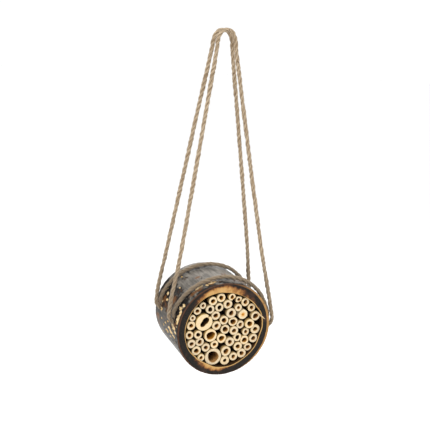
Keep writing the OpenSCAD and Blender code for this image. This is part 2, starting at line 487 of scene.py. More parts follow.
@dataclass(frozen=True)
class CutCane:
    """Cut cane: pale cream end grain, a golden-brown hollow that takes painted shade deeper in, tan skin with
    painted shade that deepens inwards.
    """

    end: Colour = (0.78, 0.66, 0.465)
    end_deep: Colour = (0.64, 0.46, 0.245)
    green: Colour = (0.70, 0.60, 0.33)
    hollow: Colour = (0.40, 0.185, 0.040)
    skin: Colour = (0.46, 0.30, 0.12)
    # Colour of the painted shade in the gaps between canes and in their hollows
    painted_shade: Colour = (0.024, 0.011, 0.005)

    def make(self) -> bpy.types.Material:
        """Mixes end, hollow and skin by the marks that the cane's mesh holds."""
        tree = Tree("cut_cane")
        ring, depth, tone = tree.mark("ring"), tree.mark("depth_mm"), tree.mark("tone")
        pores = tree.grain(0.06, 2600.0, 2.0, 0.5)
        soft = tree.grain(0.2, 420.0, 3.0, 0.6)
        streaks = tree.grain(0.05, 900.0, 3.0, 0.6)
        end = tree.coats(
            tree.blend(pores.between(0.38, 0.62), self.end_deep, self.end),
            (soft.between(0.55, 0.80) * 0.35, self.end_deep),
            (ring.between(0.20, 0.0) * 0.60, (0.58, 0.36, 0.12)),
            (ring.between(0.84, 1.0) * 0.55, self.green),
        )
        hollow = tree.coats(
            tree.blend(soft.between(0.3, 0.7), self.hollow, (0.52, 0.27, 0.065)),
            # painted shade: the hollow darkens with depth
            (depth.between(0.8, 9.0) * 0.90, (0.050, 0.018, 0.007)),
            # painted shade: some canes get their whole hollow in the shade colour
            (tree.mark("dark") * 0.9, self.painted_shade),
        )
        skin = tree.blend(streaks.between(0.3, 0.7), self.skin, (0.60, 0.43, 0.19))
        # Painted shade in the gaps between canes: the skin darkens with depth behind the cut end
        skin = tree.blend(depth.between(0.3, 7.0) * 0.96, skin, self.painted_shade)
        colour = tree.blend(tree.mark("on_skin"), tree.blend(tree.mark("in_hollow"), end, hollow), skin)
        toned = {"Hue": 0.5, "Saturation": 0.92 + tone * 0.16, "Value": 0.88 + tone * 0.16, "Color": colour}
        tinted = tree.add("ShaderNodeHueSaturation", None, toned)
        return tree.finish(tinted, 0.62 + pores * 0.15, pores * 0.6 + soft * 0.4, 0.22 * MM, 0.3)


@dataclass(frozen=True)
class PithSpot:
    """The end of the cane whose pith is whole: cream with a rusty spot."""

    centre: Vector
    spot: float = 2.8 * MM
    rust: Colour = (0.60, 0.27, 0.035)

    def make(self) -> bpy.types.Material:
        """Paints the spot by distance from the cane's axis."""
        tree = Tree("pith_cane")
        from_axis = {0: tree.place((1.0, 0.0, 1.0), self.centre)}
        away = tree.add("ShaderNodeVectorMath", {"operation": "LENGTH"}, from_axis, output="Value")
        ragged = tree.grain(1.0, 700.0, 3.0, 0.6)
        pores = tree.grain(0.06, 1900.0, 2.0, 0.5)
        colour = tree.coats(
            tree.blend(pores.between(0.4, 0.66), (0.64, 0.47, 0.25), (0.80, 0.64, 0.40)),
            (away.between(3.0 * MM, 5.5 * MM) * 0.35, (0.80, 0.70, 0.50)),
            ((away + (ragged - 0.5) * 1.6 * MM).between(self.spot * 1.15, self.spot * 0.55), self.rust),
        )
        return tree.finish(colour, 0.7 + pores * 0.1, pores, 0.25 * MM)


@dataclass(frozen=True)
class PlainDisc:
    """Thin sawn wood with straight grain across the disc."""

    def make(self) -> bpy.types.Material:
        """Grain runs along X, with fine pores and a few darker bands."""
        tree = Tree("disc_wood")
        bands = tree.noise(tree.place((0.12, 1.0, 1.0)), 170.0, 5.0, 0.6)
        pores = tree.noise(tree.place((0.05, 1.0, 1.0)), 1500.0, 2.0, 0.5)
        stops = [(0.3, (0.36, 0.24, 0.13)), (0.5, (0.55, 0.40, 0.23)), (0.7, (0.68, 0.53, 0.33))]
        colour = tree.blend(pores.between(0.55, 0.75) * 0.4, tree.ramp(bands, stops), (0.30, 0.19, 0.10))
        return tree.finish(colour, 0.62 + pores * 0.12, bands * 0.5 + pores * 0.5, 0.35 * MM)


@dataclass(frozen=True)
class PlantCord:
    """Natural plant-fibre cord, hairy and matt, sooty where it meets the drum."""

    name: str
    soot: float
    fresh: Colour = (0.300, 0.215, 0.130)
    pale: Colour = (0.56, 0.450, 0.315)
    brown: Colour = (0.23, 0.145, 0.075)
    grey: Colour = (0.185, 0.140, 0.092)

    def make(self) -> bpy.types.Material:
        """Fibres follow the strands; the grooves between strands get painted shade; soot rises from the drum.
        """
        tree = Tree(self.name)
        along, turn_x, turn_y = tree.mark("along"), tree.mark("turn_x"), tree.mark("turn_y")
        lay = tree.vector(turn_x * 0.0025, turn_y * 0.0025, along * 0.09)
        fibres = tree.noise(lay, 2600.0, 4.0, 0.7)
        clumps = tree.noise(lay, 700.0, 3.0, 0.6)
        shade = tree.grain(1.0, 60.0, 3.0, 0.5)
        specks = tree.grain(1.0, 330.0, 1.0, 0.4)
        height = tree.add("ShaderNodeSeparateXYZ", None, {0: tree.place()}, output=2)
        low = height.between(-0.255, -0.31)
        colour = tree.coats(
            tree.blend(fibres.between(0.38, 0.64), self.fresh, self.pale),
            (clumps.between(0.46, 0.66) * 0.75, self.brown),
            # painted shade in the grooves between strands
            (tree.mark("groove") * 0.8, (0.095, 0.058, 0.030)),
            ((low * 0.62 + self.soot) * (0.55 + shade * 0.6), self.grey),
            (specks.between(0.72, 0.77) * 0.8, (0.07, 0.03, 0.018)),
        )
        tree.shader.inputs["Sheen Weight"].default_value = 0.25
        return tree.finish(colour, 0.85, fibres * 0.7 + clumps * 0.3, 0.8 * MM, 0.2)


@dataclass(frozen=True)
class LooseFibre:
    """Single hairs and splinters of one plain straw colour."""

    name: str
    colour: Colour

    def make(self) -> bpy.types.Material:
        """Straw colour that changes a little from hair to hair."""
        tree = Tree(self.name)
        shade = tree.grain(1.0, 300.0, 2.0, 0.5)
        dull = tuple(c * 0.6 for c in self.colour)
        return tree.finish(tree.blend(shade.between(0.35, 0.65), dull, self.colour), 0.8)


# --------------------------------------------------------------------- pieces


@dataclass
class Drum:
    """The sawn length of culm."""

    axis: Vector
    radius: float
    half_length: float
    round_steps: int = 520

    # All in mm: how far the rims' outer edges are rounded, how much the drum is
    # flattened above and below, and how deep the cord holes are, with half their
    # mouths' width round the wall and length along it
    ROUNDING = 0.9
    FLATTENED = 0.9
    HOLE_DEPTH = 6.0
    HOLE_WIDE = 5.6
    HOLE_LONG = 2.9
    # Radius of the hollow behind the front rim, in mm
    BORE = 49.0
    # The hollow's outline at the front rim: clock angle from +X, and radius in mm
    HOLLOW = [
        (0, 50.0), (18, 50.2), (34, 48.0), (52, 46.9), (70, 46.2), (86, 46.7), (104, 48.6),
        (125, 50.0), (150, 50.0), (178, 50.2), (202, 49.6), (222, 47.4), (242, 46.8),
        (262, 48.6), (284, 49.2), (304, 48.6), (326, 49.2), (345, 48.4),
    ]  # fmt: skip
    # Width in mm of the brown line on the front rim's outer edge, by clock angle
    EDGE = [
        (0, 2.6), (35, 1.9), (62, 0.9), (95, 0.3), (140, 0.7),
        (180, 1.0), (212, 0.9), (236, 0.2), (290, 0.2), (325, 1.8),
    ]  # fmt: skip
    # Width in mm of the pale skin on the hollow's edge, by clock angle
    SKIN = [
        (0, 1.3), (40, 1.0), (62, 0.2), (120, 0.2), (165, 0.8),
        (195, 0.5), (225, 1.1), (270, 1.0), (320, 0.9),
    ]  # fmt: skip
    # How much the flame missed the front rim by clock angle, and how far out this reaches
    MISSED = [
        (0, 0.12), (20, 0.20), (38, 0.34), (55, 0.50), (70, 0.85), (88, 1.25), (112, 1.30), (126, 0.85),
        (138, 0.35), (155, 0.08), (200, 0.05), (216, 0.15), (230, 0.60), (250, 1.35), (266, 1.25),
        (277, 0.65), (288, 0.15), (320, 0.05), (345, 0.12),
    ]  # fmt: skip
    MISSED_REACH = [
        (0, 0.20), (40, 0.45), (70, 0.70), (100, 0.85), (135, 0.60), (180, 0.10), (250, 0.52), (290, 0.25),
    ]  # fmt: skip
    # Chips down to bare wood: clock angle, place, length along the drum and width round it, in mm
    CHIPS = [
        (165, -38.5, 7, 14), (157, -39, 6, 7), (152, -34, 7.5, 4.5), (147, -37.5, 7, 4),
        (121.5, -31, 3.8, 13), (104, -34, 4.5, 11), (111, -35, 5, 4), (184, -13, 10, 4.6),
        (187, -20, 11, 4.4), (174, -25, 9, 3.6),
        (178, -31, 11, 4.6), (189, -29, 10, 3.2), (192, -2, 11, 3.6), (183, 2, 6, 2.8), (178, -7, 6, 2.8),
        (189, 12, 5, 2.8), (172, 20, 6, 3.8), (183, 18, 4.5, 2.4), (151, 18, 6.5, 4), (157, 11, 5.5, 3.2),
        (125, 21, 5, 3.4), (163, 24, 5, 4), (145, 8, 4, 2.6), (136, 1, 4, 2.4), (147, 27, 5.5, 2.8),
        (139, 17, 4, 2.6), (30, 10, 6.6, 2.2), (12, -8, 8.8, 2.5), (-20, 5, 7.7, 2.5), (-40, -25, 8.8, 2.8),
        (14, -38, 7, 4), (22, -36, 5.5, 3.4), (-100, -12, 7.7, 2.5), (-130, 20, 8.8, 2.8), (60, 35, 5.5, 2.2),
        (205, 27, 6.6, 2.2), (195, -14, 6, 2.2), (181, -37, 6, 3.4), (199, -24, 5, 2),
    ]  # fmt: skip
    # Brown burn marks: clock angle, place along the drum, width in degrees and length in mm
    BURNS = [
        (166, 30, 9, 9), (158, 20, 6, 5), (186, 33, 9, 8), (150, -5, 8, 6), (126, -36, 14, 5),
        (106, -34, 12, 5), (112, -4, 5, 3), (60, -20, 10, 14), (172, -36, 10, 6), (12, -30, 9, 9),
    ]  # fmt: skip
    # Cord holes: clock angle, and place along the drum in mm
    HOLES = [(169, -26), (169, 26), (-4, -35), (-4, 26)]

    def profile(self) -> tuple[Array, Array, Array, Array]:
        """Walks once round the wall's section.

        Returns:
            At each step of the walk: place along the drum in mm, share of the way from hollow (0)
            to outside (1), depth of the edge's rounding, and 0 on the wall, 1 on a rim, 2 inside.
        """
        half = self.half_length / MM
        cut = self.ROUNDING
        edge = np.linspace(0.0, math.pi / 2, 5)[1:-1]
        outer_y = np.linspace(-half + cut, half - cut, 110)
        deep_y = np.linspace(half - 0.5, -half + 4, 14)
        inner_y = np.concatenate([deep_y, np.linspace(-half + 3, -half + 0.4, 6)])
        walk = [(y, 1.0, 0.0, 0) for y in outer_y]
        walk += [(half - cut + cut * math.sin(a), 1.0, cut * (1 - math.cos(a)), 1) for a in edge]
        walk += [(half, s, cut * s, 1) for s in np.linspace(1.0, 0.0, 18)]
        walk += [(y, 0.0, 0.0, 2) for y in inner_y]
        walk += [(-half, s, cut * s, 1) for s in np.linspace(0.0, 1.0, 34)]
        walk += [(-half + cut - cut * math.cos(a), 1.0, cut * (1 - math.sin(a)), 1) for a in edge]
        y, share, cut, zone = (np.array(column) for column in zip(*walk))
        return y, share, cut, zone

    def build(self) -> bpy.types.Object:
        """The wall as one closed surface, round the axis by round the section."""
        y, share, cut, zone = self.profile()
        half = self.half_length / MM
        angle = full_turn(self.round_steps)
        angle, y = np.broadcast_arrays(angle[:, None], y[None])
        share, cut, zone = (np.broadcast_to(column[None], y.shape) for column in (share, cut, zone))
        flat = self.FLATTENED * np.sin(angle) ** 2
        uneven = 0.25 * np.cos(2 * angle + 0.6) + 0.2 * np.cos(3 * angle - 1.1)
        outside = self.radius / MM - flat + uneven
        outline = round_curve(angle, self.HOLLOW) - self.BORE
        hollow = self.BORE + outline * smooth_step(10.0, -38.0, y)
        ribs = 0.16 * rough_noise(noise_place(angle, 9, y * 0.02), 3, 4)
        ribs = ribs + 0.10 * rough_noise(noise_place(angle, 60, y * 0.09), 7, 2)
        edge_wear = np.abs(rough_noise(noise_place(angle, 14, share * 2), 19, 3))
        chip = self._chip_mask(angle, y)
        on_wall = (zone == 0).astype(float)
        at_rim = (np.abs(np.abs(y) - half) < 1.0) * (share > 0.99)
        radius = hollow + (outside - hollow) * share - cut
        radius = radius + on_wall * (ribs - 0.35 * smooth_step(0.42, 0.62, chip) - self._mouths(angle, y))
        radius = radius - at_rim * 0.35 * edge_wear
        saw = 0.22 * edge_wear + 0.05 * rough_noise(noise_place(angle, 40, share * 9), 23, 2)
        deep = y - np.sign(y) * (np.abs(y) > half - 0.01) * saw
        points = np.stack([radius * np.cos(angle), deep, radius * np.sin(angle)], axis=-1)
        points = points * MM + np.array(self.axis)
        faces = outward(points, grid_faces(*points.shape[:2], True, True))
        from_outside = (1.0 - share) * (outside - hollow)
        from_hollow = share * (outside - hollow)
        on_front = smooth_step(-half + 1.5, -half + 0.5, y)
        edge = smooth_step(0.8, -0.2, from_outside - round_curve(angle, self.EDGE))
        marks = {
            "on_face": zone == 1,
            "in_hollow": zone == 2,
            "chip": chip,
            "soot": self._soot(angle, y),
            "scorch": self._scorch(angle, y),
            "missed": self._missed(angle, share) * on_front,
            "rim_edge": edge * (0.25 + 0.75 * on_front),
            "rim_skin": smooth_step(0.6, -0.2, from_hollow - round_curve(angle, self.SKIN)) * on_front,
        }
        return make_piece("culm_wall", points, faces, marks)

    def _missed(self, angle: Array, share: Array) -> Array:
        """How much the flame missed the front rim, fading out from the hollow's edge."""
        reach = round_curve(angle, self.MISSED_REACH)
        return round_curve(angle, self.MISSED) * smooth_step(0.0, 1.0, 0.5 + (reach - share) / 0.9)

    def _chip_mask(self, angle: Array, y: Array) -> Array:
        """1 in the middle of each chip, falling to 0 at twice its size (distance to an oval)."""
        mask = np.zeros(angle.shape)
        for clock, at_y, length, width in self.CHIPS:
            across = turn_from(angle, clock) * self.radius / MM / (width / 2)
            along = (y - at_y) / (length / 2)
            mask = np.maximum(mask, 1.0 - 0.5 * np.sqrt(across**2 + along**2))
        return mask

    def _mouths(self, angle: Array, y: Array) -> Array:
        """How deep, in mm, the four cord holes dip into the outer wall."""
        depth = np.zeros(angle.shape)
        for clock, at_y in self.HOLES:
            across = turn_from(angle, clock) * self.radius / MM / self.HOLE_WIDE
            away = np.sqrt(across**2 + ((y - at_y) / self.HOLE_LONG) ** 2)
            depth = np.maximum(depth, self.HOLE_DEPTH * smooth_step(1.0, 0.72, away))
        return depth

    def _soot(self, angle: Array, y: Array) -> Array:
        """More soot by the front rim, between the cords high on the left, and low on the left."""
        degrees = np.degrees(angle)
        left = np.maximum(0.0, -np.cos(angle - math.radians(-25)))
        front = smooth_step(-27.0, -42.0, y) * (0.5 + 0.5 * np.sin(angle))
        behind = bell((degrees - 150) / 15, (y - 22) / 24)
        ahead = bell((degrees - 160) / 17, (y + 30) / 10)
        under_band = np.exp(-((np.abs(y) - 26) ** 2) / 18) * smooth_step(0.1, 0.6, np.sin(angle))
        return 0.45 * front + 1.35 * behind + 0.9 * ahead + 0.12 * left + 0.35 * under_band

    def _scorch(self, angle: Array, y: Array) -> Array:
        """Brown burn marks, each fading out from its middle."""
        mark = np.zeros(angle.shape)
        for clock, at_y, wide, long in self.BURNS:
            mark = np.maximum(mark, bell((np.degrees(angle) - clock) / wide, (y - at_y) / long))
        return mark


@dataclass
class Slivers:
    """Thin splinters of pale wood that stand off the culm."""

    axis: Vector
    RINGS = 9
    SIDES = 6
    # In front of this place in mm, a sliver lies flat on the front rim
    RIM_Y = -44.0
    # How far a sliver bows off the culm in mm, and its thickness against its width
    BOW = 0.25
    FLATNESS = 0.45
    # Start and end of each sliver in mm from the drum's middle, and its width
    LYING = [
        ((43.6, -45.3, 17.2), (53.4, -46.0, 8.6), 2.4),
        ((-57.6, -33.0, 18.6), (-57.2, -43.0, 20.4), 0.9),
        ((-53.0, -34.0, 29.6), (-52.0, -41.5, 31.0), 0.8),
        ((-31.0, -30.5, 52.4), (-26.0, -33.5, 55.0), 0.8),
        ((-17.0, -33.5, 58.4), (-10.5, -35.5, 59.8), 0.7),
        ((-60.4, -14.0, -4.0), (-59.9, -22.0, -8.6), 0.8),
        ((-60.6, -24.0, 4.8), (-60.7, -33.0, 0.8), 0.9),
        ((-59.6, 24.0, 6.8), (-59.9, 16.0, 5.6), 0.8),
    ]  # fmt: skip

    def build(self) -> bpy.types.Object:
        """Each sliver is a six-sided spike that swells from its root and tapers to its tip."""
        t = np.linspace(0.0, 1.0, self.RINGS)
        spin = full_turn(self.SIDES)
        pieces, faces = [], []
        rows = grid_faces(self.RINGS, self.SIDES, False, True)
        ends = np.array([[0, 1, 2, 3], [0, 3, 4, 5]])
        closed = np.concatenate([rows, ends[:, ::-1], ends + (self.RINGS - 1) * self.SIDES])
        for start, end, wide in self.LYING:
            start, end = np.array(start), np.array(end)
            ahead = (end - start) / np.linalg.norm(end - start)
            up = np.array([start[0], 0.0, start[2]]) / np.hypot(start[0], start[2])
            if start[1] < self.RIM_Y:
                up = np.array([0.0, -1.0, 0.0])
            side = np.cross(ahead, up) / np.linalg.norm(np.cross(ahead, up))
            up = np.cross(side, ahead)
            size = wide / 2 * np.clip(np.minimum(0.35 + 2.2 * t, 1.35 - 1.15 * t), 0.08, 1.0)
            spine = start + (end - start) * t[:, None] + up * (self.BOW * np.sin(math.pi * t))[:, None]
            ring = side * np.cos(spin)[:, None] + up * self.FLATNESS * np.sin(spin)[:, None]
            points = spine[:, None] + ring[None] * size[:, None, None]
            faces.append(outward(points, closed) + self.RINGS * self.SIDES * len(pieces))
            pieces.append(points.reshape(-1, 3) * MM + np.array(self.axis))
        return make_piece("culm_slivers", np.concatenate(pieces), np.concatenate(faces))


class CaneKind(Enum):
    """What a cane's hollow is like."""

    ROUND = "round"
    SQUARED = "squared"
    LENS = "lens"
    PITH = "pith"


@dataclass
class Cane:
    """One cut cane, read from its frame node."""

    number: int
    centre: Vector
    radius: float
    bore: float
    front: float
    back: float
    kind: CaneKind
    # Whether the whole hollow is painted in shade colour
    dark: bool
    torn_at: float | None = None
    round_steps: int = 84
    SLIT = math.radians(50)

    def outline(self, angle: Array, rng: np.random.Generator) -> Array:
        """Outer radius round the cane: a slightly oval ring, or a rounded square."""
        turn = rng.uniform(0, 2 * math.pi, 3)
        wobble = 0.018 * np.cos(2 * angle + turn[0]) + 0.012 * np.cos(3 * angle + turn[1])
        radius = self.radius * (0.992 + wobble + 0.006 * np.cos(7 * angle + turn[2]))
        if self.kind is CaneKind.SQUARED:
            flat = np.maximum(np.abs(np.cos(angle + 0.15)), np.abs(np.sin(angle + 0.15)))
            radius = np.minimum(radius * 1.08, self.radius * 0.9 / flat)
        if self.kind is CaneKind.LENS:
            radius = radius * (1.0 - 0.32 * bell((angle - self.SLIT) / 0.10))
        return radius

    def hollow(self, angle: Array, rng: np.random.Generator) -> tuple[Array, Array]:
        """The hollow's edge as two arrays, across and up from the cane's middle."""
        turn = rng.uniform(0, 2 * math.pi, 3)
        wobble = 0.07 * np.cos(2 * angle + turn[0]) + 0.045 * np.cos(3 * angle + turn[1])
        radius = self.bore * (1.0 + wobble + 0.02 * np.cos(5 * angle + turn[2]))
        if self.kind is CaneKind.LENS:
            along = np.abs(np.cos(angle - self.SLIT)) ** 3 * 0.31 * self.radius
            radius = 0.34 * self.radius * (1.0 + 0.10 * np.cos(3 * angle + 0.4)) + along
            return radius * np.cos(angle) + 0.07 * self.radius, radius * np.sin(angle) + 0.05 * self.radius
        return radius * np.cos(angle), radius * np.sin(angle)

    def build(self) -> bpy.types.Object:
        """The cane as one closed surface: skin, cut end, hollow, and the rear end."""
        rng = np.random.default_rng(100 + self.number)
        angle = full_turn(self.round_steps)
        outer = self.outline(angle, rng)
        outer_x, outer_z = outer * np.cos(angle), outer * np.sin(angle)
        inner_x, inner_z = self.hollow(angle, rng)
        length = self.back - self.front
        skin = [(1.0, d, 0) for d in length * np.linspace(1.0, 0.0, 9)[:-1]]
        skin += [(1.0, 1.2 * MM, 0), (1.0, 0.35 * MM, 0)]
        cut = [(s, 0.0, 1) for s in (0.99, 0.95, 0.9, 0.8, 0.7, 0.6, 0.5, 0.4, 0.3, 0.2, 0.1, 0.05, 0.01)]
        deep = [(0.0, d * MM, 2) for d in (0.3, 0.8, 1.5, 2.5, 4, 6, 9, 13, 20, 32, 50)] + [(0.0, length, 2)]
        walk = np.array(skin + cut + deep)
        share, depth, zone = walk[:, 0], walk[:, 1], walk[:, 2]
        x = inner_x[:, None] + (outer_x - inner_x)[:, None] * share
        z = inner_z[:, None] + (outer_z - inner_z)[:, None] * share
        place = np.stack([x, z, 0 * x], axis=-1) / (0.9 * MM) + 7.3 * self.number
        saw = 0.10 * MM * rough_noise(place, 40 + self.number % 5, 3)
        tilt = rng.uniform(-0.035, 0.035, 2)
        lean = x * tilt[0] + z * tilt[1]
        rounding = 0.22 * MM * (smooth_step(0.93, 1.0, share) + smooth_step(0.08, 0.0, share))
        near = np.exp(-depth / (1.2 * MM))
        y = self.front + depth + near * (lean + saw * (zone == 1) + rounding * (zone == 1))
        if self.torn_at is not None:
            away = turn_from(angle, self.torn_at)[:, None]
            notch = bell(away / 0.5) * smooth_step(0.15, 0.9, share)
            y = y + near * notch * (2.2 * MM + 6.0 * saw)
        points = np.stack([x + self.centre.x, y, z + self.centre.z], axis=-1)
        faces = outward(points, grid_faces(*points.shape[:2], True, True))
        # Light reaches deeper into a wide hollow
        reach = np.where(zone == 2, max(1.0, self.bore / (2.8 * MM)), 1.0)
        marks = {
            "ring": share,
            "depth_mm": depth / reach / MM,
            "tone": rng.uniform(0.0, 1.0),
            "dark": self.dark,
            "in_hollow": zone == 2,
            "on_skin": zone == 0,
        }
        return make_piece(f"cane_{self.number:02d}_cut", points, faces, marks)


@dataclass
class CanePack:
    """All the canes in the drum."""

    nodes: dict[str, bpy.types.Object]
    # Canes whose whole hollow is painted in shade colour
    SHADED_HOLLOWS = (10, 11, 20, 31, 33, 49)
    TORN = {1: -50.0, 4: -60.0}

    def _hollow_radius(self, node: str, centre: Vector) -> float:
        """The nearest that a node's surface comes to its own axis."""
        mesh = self.nodes[node].data
        points = np.empty(len(mesh.vertices) * 3, dtype=np.float32)
        mesh.vertices.foreach_get("co", points)
        x, _, z = points.reshape(-1, 3).T
        return float(np.hypot(x - centre.x, z - centre.z).min())

    def cane(self, node: str) -> Cane:
        """Reads one cane's place and sizes from the frame."""
        low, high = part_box(node)
        centre = (low + high) / 2
        number = int(node[-2:])
        kind = {4: CaneKind.SQUARED, 14: CaneKind.PITH, 20: CaneKind.LENS}.get(number, CaneKind.ROUND)
        radius = (high.x - low.x) / 2
        bore = 0.1 * radius if kind is CaneKind.PITH else self._hollow_radius(node, centre)
        if kind is CaneKind.SQUARED:
            radius *= 1.12
        torn = self.TORN.get(number)
        return Cane(number, centre, radius, bore, low.y, high.y, kind, number in self.SHADED_HOLLOWS, torn)

    def build(self, finish: bpy.types.Material) -> list[bpy.types.Object]:
        """Makes every cane and lets it stand for its node."""
        pieces = []
        for node in sorted(self.nodes):
            cane = self.cane(node)
            piece = cane.build()
            if cane.kind is CaneKind.PITH:
                piece.data.materials.append(PithSpot(cane.centre).make())
            else:
                piece.data.materials.append(finish)
            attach(piece, "root")
            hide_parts(node)
            pieces.append(piece)
        return pieces


def smooth_route(points: Array, step: float) -> Array:
    """A smooth line through the points: cubic pieces whose slopes come from their neighbours.

    Args:
        points: the route's points in metres.
        step: about how far apart the line's own points are.

    Returns:
        The line, evenly spaced.
    """
    gap = np.linalg.norm(np.diff(points, axis=0), axis=1)
    at = np.concatenate([[0.0], np.cumsum(gap)])
    slope = np.gradient(points, at, axis=0)
    fine = np.linspace(0.0, at[-1], 4000)
    i = np.clip(np.searchsorted(at, fine, side="right") - 1, 0, len(gap) - 1)
    t = ((fine - at[i]) / gap[i])[:, None]
    g = gap[i][:, None]
    line = (
        (2 * t**3 - 3 * t**2 + 1) * points[i]
        + (t**3 - 2 * t**2 + t) * g * slope[i]
        + (3 * t**2 - 2 * t**3) * points[i + 1]
        + (t**3 - t**2) * g * slope[i + 1]
    )
    run = np.concatenate([[0.0], np.cumsum(np.linalg.norm(np.diff(line, axis=0), axis=1))])
    even = np.linspace(0.0, run[-1], max(2, int(round(run[-1] / step)) + 1))
    return np.stack([np.interp(even, run, line[:, k]) for k in range(3)], axis=1)


def line_frame(line: Array) -> tuple[Array, Array, Array]:
    """Directions along, across and out from a line that lies nearly in an XZ plane."""
    ahead = unit(np.gradient(line, axis=0))
    across = unit(np.cross(ahead, np.array([0.0, 1.0, 0.0])))
    return ahead, across, np.cross(across, ahead)


@dataclass
class Cord:
    """A three-strand cord along a given route."""

    name: str
    node: str
    route_mm: list[tuple[float, float, float]]
    soot: float
    seed: int
    diameter: float = 5.0 * MM
    step: float = 0.75 * MM
    twist: float = 24.0 * MM
    strands: int = 3
    round_steps: int = 33
    hairs_per_metre: float = 1500.0
    hair_width: float = 0.055 * MM
    hair_reach: float = 0.65 * MM
    HAIR_RINGS = 4
    HAIR_SIDES = 3

    def line(self) -> Array:
        """The centreline, smoothed through the route's points."""
        return smooth_route(np.array(self.route_mm) * MM, self.step)

    @staticmethod
    def spacing(line: Array) -> float:
        """How far apart the line's points are."""
        return float(np.linalg.norm(line[1] - line[0]))

    def _drift(self, run: Array, pitch: float, seed: int) -> Array:
        """A slow random change along the cord, one lattice step to each pitch."""
        place = np.stack([run / pitch, 0 * run, 0 * run + self.seed], axis=-1)
        return rough_noise(place, self.seed + seed, 2)[:, None]

    def build(self) -> bpy.types.Object:
        """A tube whose section is three round lobes that turn along the line."""
        line = self.line()
        ahead, across, out = line_frame(line)
        run = np.arange(len(line)) * self.spacing(line)
        turn = full_turn(self.round_steps)
        slack = self._drift(run, 18 * MM, 4)
        lay = turn[None] + 2 * math.pi * run[:, None] / self.twist + 0.50 * slack
        lobe = np.abs(np.sin(self.strands / 2 * lay))
        place = noise_place(lay, 1.2, run[:, None] / (4 * MM) + 0 * lay)
        lumps = rough_noise(place + self.seed * 3.7, self.seed, 3)
        thick = 1.02 + 0.07 * self._drift(run, 12 * MM, 9)
        radius = self.diameter / 2 * thick * (0.68 + 0.32 * lobe**0.62 + 0.16 * lumps)
        side = across[:, None] * np.cos(turn)[None, :, None] + out[:, None] * np.sin(turn)[None, :, None]
        points = line[:, None] + side * radius[..., None]
        faces = grid_faces(*points.shape[:2], False, True)
        caps = [line[0] - ahead[0] * 0.2 * MM, line[-1] + ahead[-1] * 0.2 * MM]
        points, faces = self._close(points, faces, caps)
        faces = outward(points, faces)
        marks = {
            "along": np.repeat(run, self.round_steps),
            "turn_x": np.cos(lay).ravel(),
            "turn_y": np.sin(lay).ravel(),
            # Where the grooves between strands lie, for their painted shade
            "groove": (1.0 - smooth_step(0.0, 0.55, lobe)).ravel(),
        }
        marks = {name: np.append(values, [0.0, 0.0]) for name, values in marks.items()}
        piece = make_piece(self.name, points, faces, marks)
        piece.data.materials.append(PlantCord(f"{self.name}_fibre", self.soot).make())
        return piece

    @staticmethod
    def _close(points: Array, faces: Array, caps: list[Array]) -> tuple[Array, Array]:
        """Adds a middle point at each end and fans of quads that close the tube."""
        rows, columns = points.shape[:2]
        flat = np.concatenate([points.reshape(-1, 3), np.array(caps)])
        k = np.arange(0, columns, 2)
        first = np.stack([k, (k + 1) % columns, (k + 2) % columns, 0 * k + rows * columns], axis=1)
        last_row = (rows - 1) * columns
        last = np.stack([k + 2, k + 1, k], axis=1) % columns + last_row
        last = np.concatenate([last, np.full((len(k), 1), rows * columns + 1)], axis=1)
        return flat, np.concatenate([faces, first[:, ::-1], last[:, ::-1]])

    def hairs(self) -> bpy.types.Object:
        """Loose fibres that stand off the cord: thin three-sided spikes in gentle curves."""
        line = self.line()
        ahead, across, out = line_frame(line)
        length = len(line) * self.spacing(line)
        rng = np.random.default_rng(self.seed + 500)
        count = int(length * self.hairs_per_metre)
        i = rng.integers(12, len(line) - 12, count)
        turn = rng.uniform(0, 2 * math.pi, count)[:, None]
        side = across[i] * np.cos(turn) + out[i] * np.sin(turn)
        lean = rng.normal(0.0, 1.1, count)[:, None]
        reach = rng.gamma(2.0, self.hair_reach, count)[:, None]
        way = unit(side + ahead[i] * lean)
        bend = rng.normal(0.0, 0.5, (count, 3))
        t = np.linspace(0.0, 1.0, self.HAIR_RINGS)[None, :, None]
        start = line[i] + side * self.diameter * 0.40
        spine = start[:, None] + reach[:, None] * (way[:, None] * t + bend[:, None] * t**2 * 0.5)
        wide = self.hair_width * (1.0 - 0.8 * t)
        spin = full_turn(self.HAIR_SIDES)
        u = unit(np.cross(way, ahead[i]))
        v = np.cross(way, u)
        cosine, sine = np.cos(spin)[None, None, :, None], np.sin(spin)[None, None, :, None]
        ring = u[:, None, None] * cosine + v[:, None, None] * sine
        points = spine[:, :, None] + ring * wide[..., None]
        one = grid_faces(self.HAIR_RINGS, self.HAIR_SIDES, False, True)
        first = np.arange(count)[:, None, None] * self.HAIR_RINGS * self.HAIR_SIDES
        faces = (one[None] + first).reshape(-1, 4)
        piece = make_piece(f"{self.name}_hairs", points, faces)
        piece.data.materials.append(LooseFibre(f"{self.name}_hair_straw", (0.60, 0.48, 0.32)).make())
        return piece

    def install(self) -> None:
        line = self.line()
        piece, hairs = self.build(), self.hairs()
        for item in (piece, hairs):
            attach(item, "root")
        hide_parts(self.node)


